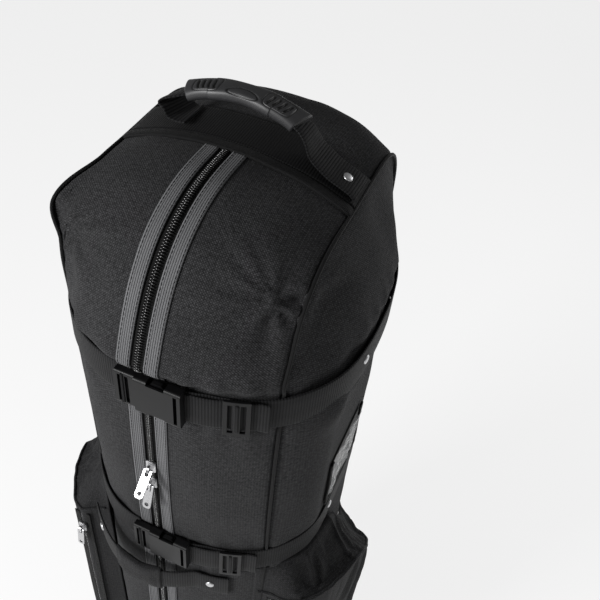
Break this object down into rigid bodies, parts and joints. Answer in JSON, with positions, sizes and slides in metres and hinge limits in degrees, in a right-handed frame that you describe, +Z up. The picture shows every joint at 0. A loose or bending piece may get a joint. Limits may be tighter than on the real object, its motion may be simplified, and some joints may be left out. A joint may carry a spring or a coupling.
{
  "type": "golf travel case",
  "caption": "Tall soft-sided golf travel case with a moulded wheeled base, full-length front zip, buckled compression straps, side pockets and a top grip.",
  "frame": {"origin": "on the floor, under the middle of the standing case", "axes": "+Z up, the zipped front faces -Y, +X is the viewer's right when facing the front"},
  "size_m": [0.428, 0.4042, 1.309],
  "materials": {
    "body_fabric": "matt heavy plain-weave polyester",
    "foam_lining": "soft closed-cell foam with nylon lining",
    "webbing": "ribbed woven webbing, slight sheen",
    "binding": "folded binding tape",
    "wrap_fabric": "padded fabric wrap",
    "zip_tape": "mid-grey woven zip tape",
    "zip_coil": "black nylon coil",
    "zip_metal": "polished nickel plate",
    "rivet_metal": "satin nickel plate",
    "buckle_plastic": "satin moulded acetal",
    "grip_rubber": "satin moulded rubber",
    "clear_window": "clear flexible vinyl",
    "card_paper": "blank card",
    "base_plastic": "fine moulded grain",
    "board_plastic": "plain sheet",
    "foot_rubber": "matt",
    "wheel_hub": "satin",
    "wheel_tyre": "satin polyurethane",
    "axle_steel": "zinc plated"
  },
  "bodies": {
    "case": {"back_panel": "body_fabric", "base_board": "board_plastic", "base_feet": "foot_rubber", "base_shell": "base_plastic", "buckle_1_female": "buckle_plastic", "buckle_1_male": "buckle_plastic", "buckle_2_female": "buckle_plastic", "buckle_2_male": "buckle_plastic", "buckle_3_female": "buckle_plastic", "buckle_3_male": "buckle_plastic", "card_frame": "binding", "card_window": "clear_window", "carry_handle_ends": "webbing", "front_panel_left": "body_fabric", "front_panel_right": "body_fabric", "handle_rivets": "rivet_metal", "hood_foam_pad": "foam_lining", "pocket_left": "body_fabric", "pocket_right": "body_fabric", "pocket_zips": "zip_tape", "side_panel_left": "body_fabric", "side_panel_right": "body_fabric", "skid_rails": "base_plastic", "strap_1_glide": "buckle_plastic", "strap_1_webbing": "webbing", "strap_2_glide": "buckle_plastic", "strap_2_webbing": "webbing", "strap_3_glide": "buckle_plastic", "strap_3_webbing": "webbing", "strap_rivets": "rivet_metal", "top_band": "webbing", "top_binding": "binding", "top_handle_straps": "webbing", "wheel_axles": "axle_steel", "zip_coils": "zip_coil", "zip_tape_left": "zip_tape", "zip_tape_right": "zip_tape"},
    "top_handle": {"top_handle_grip": "grip_rubber", "top_handle_core": "webbing"},
    "carry_handle": {"carry_handle_webbing": "webbing", "carry_handle_wrap": "wrap_fabric"},
    "upper_slider": {"zip_slider_upper": "zip_metal"},
    "upper_pull": {"zip_pull_upper": "zip_metal"},
    "lower_slider": {"zip_slider_lower": "zip_metal"},
    "lower_pull": {"zip_pull_lower": "zip_metal"},
    "pocket_slider_l": {"pocket_slider_left": "zip_metal"},
    "pocket_slider_r": {"pocket_slider_right": "zip_metal"},
    "pocket_pull_l": {"pocket_pull_left": "zip_metal"},
    "pocket_pull_r": {"pocket_pull_right": "zip_metal"},
    "card": {"name_card": "card_paper"},
    "wheel_l": {"wheel_hub_left": "wheel_hub", "wheel_tyre_left": "wheel_tyre"},
    "wheel_r": {"wheel_hub_right": "wheel_hub", "wheel_tyre_right": "wheel_tyre"},
    "latch_1_upper": {"buckle_1_latch_upper": "buckle_plastic"},
    "latch_1_lower": {"buckle_1_latch_lower": "buckle_plastic"},
    "latch_2_upper": {"buckle_2_latch_upper": "buckle_plastic"},
    "latch_2_lower": {"buckle_2_latch_lower": "buckle_plastic"},
    "latch_3_upper": {"buckle_3_latch_upper": "buckle_plastic"},
    "latch_3_lower": {"buckle_3_latch_lower": "buckle_plastic"}
  },
  "joints": [
    {"name": "wheel_left_spin", "type": "hinge", "parent": "case", "child": "wheel_l", "pos_m": [-0.092, 0.164, 0.039], "axis": [1, 0, 0], "continuous": true},
    {"name": "wheel_right_spin", "type": "hinge", "parent": "case", "child": "wheel_r", "pos_m": [0.092, 0.164, 0.039], "axis": [1, 0, 0], "continuous": true},
    {"name": "upper_slider_travel", "type": "slide", "parent": "case", "child": "upper_slider", "axis": [0, 0, 1], "range_m": [0, 0.066]},
    {"name": "lower_slider_travel", "type": "slide", "parent": "case", "child": "lower_slider", "axis": [0, 0, -1], "range_m": [0, 0.058]},
    {"name": "upper_pull_lift", "type": "hinge", "parent": "upper_slider", "child": "upper_pull", "pos_m": [0, -0.1786, 0.975], "axis": [-1, 0, 0], "range_deg": [-32, 95]},
    {"name": "lower_pull_lift", "type": "hinge", "parent": "lower_slider", "child": "lower_pull", "pos_m": [0, -0.1786, 0.947], "axis": [-1, 0, 0], "range_deg": [-20, 50]},
    {"name": "pocket_slider_left_travel", "type": "slide", "parent": "case", "child": "pocket_slider_l", "axis": [0, 0, -1], "range_m": [0, 0.32]},
    {"name": "pocket_pull_left_lift", "type": "hinge", "parent": "pocket_slider_l", "child": "pocket_pull_l", "pos_m": [-0.134, -0.1524, 0.712], "axis": [-1, 0, 0], "range_deg": [-8, 120]},
    {"name": "pocket_slider_right_travel", "type": "slide", "parent": "case", "child": "pocket_slider_r", "axis": [0, 0, -1], "range_m": [0, 0.32]},
    {"name": "pocket_pull_right_lift", "type": "hinge", "parent": "pocket_slider_r", "child": "pocket_pull_r", "pos_m": [0.134, -0.1524, 0.712], "axis": [-1, 0, 0], "range_deg": [-8, 120]},
    {"name": "card_pull_out", "type": "slide", "parent": "case", "child": "card", "axis": [0, 0, 1], "range_m": [0, 0.06]},
    {"name": "top_handle_swing", "type": "hinge", "parent": "case", "child": "top_handle", "pos_m": [0, 0.017, 1.262], "axis": [1, 0, 0], "range_deg": [-25, 25]},
    {"name": "carry_handle_lift", "type": "hinge", "parent": "case", "child": "carry_handle", "pos_m": [0, -0.172, 0.772], "axis": [-1, 0, 0], "range_deg": [-28, 28]},
    {"name": "buckle_1_upper_press", "type": "hinge", "parent": "case", "child": "latch_1_upper", "pos_m": [0.002, -0.1788, 1.112], "axis": [0, 1, 0], "range_deg": [0, 7], "stiffness_Nm_per_rad": 0.3},
    {"name": "buckle_1_lower_press", "type": "hinge", "parent": "case", "child": "latch_1_lower", "pos_m": [0.002, -0.1788, 1.086], "axis": [0, -1, 0], "range_deg": [0, 7], "stiffness_Nm_per_rad": 0.3},
    {"name": "buckle_2_upper_press", "type": "hinge", "parent": "case", "child": "latch_2_upper", "pos_m": [0.002, -0.1788, 0.846], "axis": [0, 1, 0], "range_deg": [0, 7], "stiffness_Nm_per_rad": 0.3},
    {"name": "buckle_2_lower_press", "type": "hinge", "parent": "case", "child": "latch_2_lower", "pos_m": [0.002, -0.1788, 0.82], "axis": [0, -1, 0], "range_deg": [0, 7], "stiffness_Nm_per_rad": 0.3},
    {"name": "buckle_3_upper_press", "type": "hinge", "parent": "case", "child": "latch_3_upper", "pos_m": [0.002, -0.1788, 0.283], "axis": [0, 1, 0], "range_deg": [0, 7], "stiffness_Nm_per_rad": 0.3},
    {"name": "buckle_3_lower_press", "type": "hinge", "parent": "case", "child": "latch_3_lower", "pos_m": [0.002, -0.1788, 0.257], "axis": [0, -1, 0], "range_deg": [0, 7], "stiffness_Nm_per_rad": 0.3}
  ]
}
